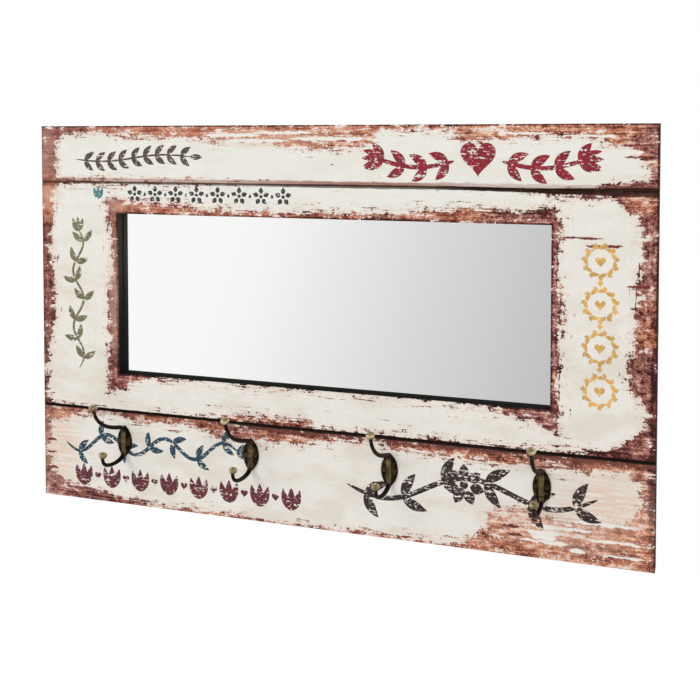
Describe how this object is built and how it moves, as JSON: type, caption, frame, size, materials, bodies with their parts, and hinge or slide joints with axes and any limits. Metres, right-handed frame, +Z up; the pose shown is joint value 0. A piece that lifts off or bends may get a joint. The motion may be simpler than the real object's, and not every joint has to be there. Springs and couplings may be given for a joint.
{
  "type": "mirror with hooks",
  "caption": "Wall-hung plank-look board with a rebated mirror behind a rectangular cut-out and a row of cast double coat hooks below it; keyhole hangers on the back.",
  "frame": {"origin": "midway between the entry holes of the two keyhole hangers, on the back face of the board", "axes": "+X to the right as seen from the front, +Y towards the wall, +Z up; the mirror and the hooks face -Y"},
  "size_m": [0.8, 0.1029, 0.5],
  "materials": {
    "painted_board": "MDF printed as worn planks: cream paint over rust, mauve and maroon, satin, with a near-black reveal round the opening",
    "mirror": "silvered float glass, polished",
    "hardboard": "brown hardboard, smooth",
    "antique_brass": "antique brass, dark olive brown, rubbed brighter on the balls",
    "brass_screw": "antique brass, cross recess",
    "plated_steel": "zinc plated sheet steel",
    "zinc_screw": "zinc plated, cross recess",
    "pad_rubber": "matt black rubber"
  },
  "bodies": {
    "board_assembly": {"board": "painted_board", "mirror_glass": "mirror", "backing_panel": "hardboard", "hook_1": "antique_brass", "hook_2": "antique_brass", "hook_3": "antique_brass", "hook_4": "antique_brass", "hook_1_screws": "brass_screw", "hook_2_screws": "brass_screw", "hook_3_screws": "brass_screw", "hook_4_screws": "brass_screw", "turn_screw_1": "zinc_screw", "turn_screw_2": "zinc_screw", "turn_screw_3": "zinc_screw", "turn_screw_4": "zinc_screw", "turn_screw_5": "zinc_screw", "turn_screw_6": "zinc_screw", "hanger_left": "plated_steel", "hanger_right": "plated_steel", "hanger_left_screws": "zinc_screw", "hanger_right_screws": "zinc_screw", "wall_pad_1": "pad_rubber", "wall_pad_2": "pad_rubber", "wall_pad_3": "pad_rubber", "wall_pad_4": "pad_rubber"},
    "turn_button_1": {"turn_button_1": "plated_steel"},
    "turn_button_2": {"turn_button_2": "plated_steel"},
    "turn_button_3": {"turn_button_3": "plated_steel"},
    "turn_button_4": {"turn_button_4": "plated_steel"},
    "turn_button_5": {"turn_button_5": "plated_steel"},
    "turn_button_6": {"turn_button_6": "plated_steel"}
  },
  "joints": [
    {"name": "turn_button_1_pivot", "type": "hinge", "parent": "board_assembly", "child": "turn_button_1", "pos_m": [-0.14775, 0.0007, -0.0435], "axis": [0, 1, 0], "continuous": true},
    {"name": "turn_button_2_pivot", "type": "hinge", "parent": "board_assembly", "child": "turn_button_2", "pos_m": [0.14775, 0.0007, -0.0435], "axis": [0, 1, 0], "continuous": true},
    {"name": "turn_button_3_pivot", "type": "hinge", "parent": "board_assembly", "child": "turn_button_3", "pos_m": [0.3045, 0.0007, -0.171], "axis": [0, 1, 0], "continuous": true},
    {"name": "turn_button_4_pivot", "type": "hinge", "parent": "board_assembly", "child": "turn_button_4", "pos_m": [0.14775, 0.0007, -0.2985], "axis": [0, 1, 0], "continuous": true},
    {"name": "turn_button_5_pivot", "type": "hinge", "parent": "board_assembly", "child": "turn_button_5", "pos_m": [-0.14775, 0.0007, -0.2985], "axis": [0, 1, 0], "continuous": true},
    {"name": "turn_button_6_pivot", "type": "hinge", "parent": "board_assembly", "child": "turn_button_6", "pos_m": [-0.3045, 0.0007, -0.171], "axis": [0, 1, 0], "continuous": true}
  ]
}
